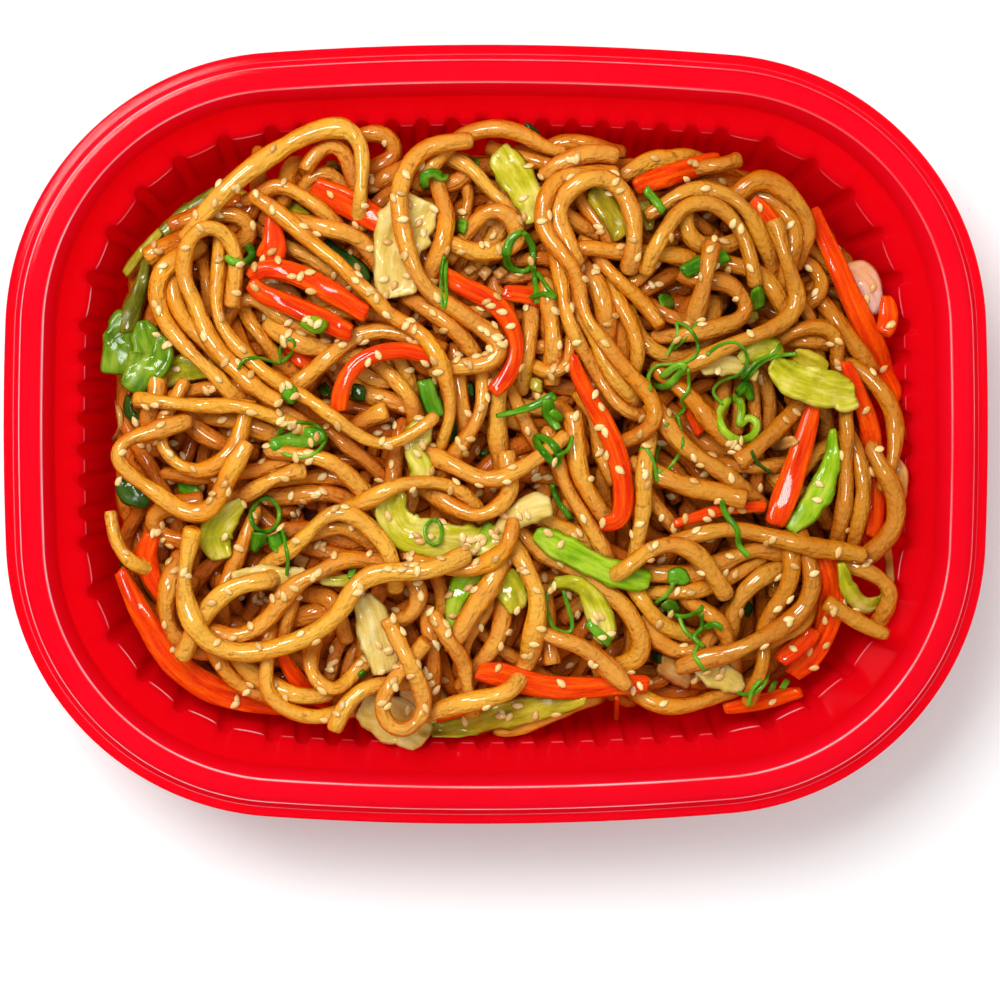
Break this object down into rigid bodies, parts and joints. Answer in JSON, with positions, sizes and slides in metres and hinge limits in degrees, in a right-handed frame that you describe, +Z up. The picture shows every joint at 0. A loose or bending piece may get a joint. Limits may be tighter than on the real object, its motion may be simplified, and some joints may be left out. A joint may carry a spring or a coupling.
{
  "type": "noodle tray meal",
  "caption": "Lo mein noodles with carrot, cabbage, scallion and sesame, heaped in a shallow red plastic takeaway tray with a fluted wall.",
  "frame": {"origin": "middle of the tray's flat bottom", "axes": "+X along the tray's length, +Y across it, +Z up out of the tray"},
  "size_m": [0.254, 0.2008, 0.0489],
  "materials": {
    "tray_red": "glossy bright red formed plastic",
    "noodle": "cooked wheat noodle with a thin glossy brown sauce",
    "carrot": "cooked carrot, wet and glossy",
    "cabbage": "cooked cabbage leaf, pale yellow green, partly translucent",
    "greens": "scallion and dark green leaf, wet",
    "onion": "cooked onion, translucent cream",
    "sesame": "toasted sesame seed, satin",
    "sauce": "thin brown sauce, wet"
  },
  "bodies": {
    "root": {"tray": "tray_red", "noodle_heap": "noodle", "carrot_01": "carrot", "carrot_02": "carrot", "carrot_03": "carrot", "carrot_04": "carrot", "carrot_05": "carrot", "carrot_06": "carrot", "carrot_07": "carrot", "carrot_08": "carrot", "carrot_09": "carrot", "carrot_10": "carrot", "carrot_11": "carrot", "carrot_12": "carrot", "carrot_13": "carrot", "carrot_14": "carrot", "carrot_15": "carrot", "carrot_16": "carrot", "carrot_17": "carrot", "carrot_18": "carrot", "carrot_19": "carrot", "carrot_20": "carrot", "carrot_21": "carrot", "cabbage_01": "cabbage", "cabbage_02": "cabbage", "cabbage_03": "cabbage", "cabbage_04": "cabbage", "cabbage_05": "cabbage", "cabbage_06": "cabbage", "cabbage_07": "cabbage", "cabbage_08": "cabbage", "cabbage_09": "cabbage", "cabbage_10": "cabbage", "cabbage_11": "cabbage", "cabbage_12": "cabbage", "cabbage_13": "cabbage", "cabbage_14": "cabbage", "cabbage_15": "cabbage", "cabbage_16": "cabbage", "cabbage_17": "cabbage", "cabbage_18": "cabbage", "cabbage_19": "cabbage", "cabbage_20": "cabbage", "greens_01": "greens", "greens_02": "greens", "greens_03": "greens", "greens_04": "greens", "greens_05": "greens", "greens_06": "greens", "greens_07": "greens", "onion_01": "onion", "onion_02": "onion", "scallion_ring_1": "greens", "scallion_ring_2": "greens", "scallion_ring_3": "greens", "scallion_ring_4": "greens", "scallion_ring_5": "greens"}
  },
  "joints": []
}
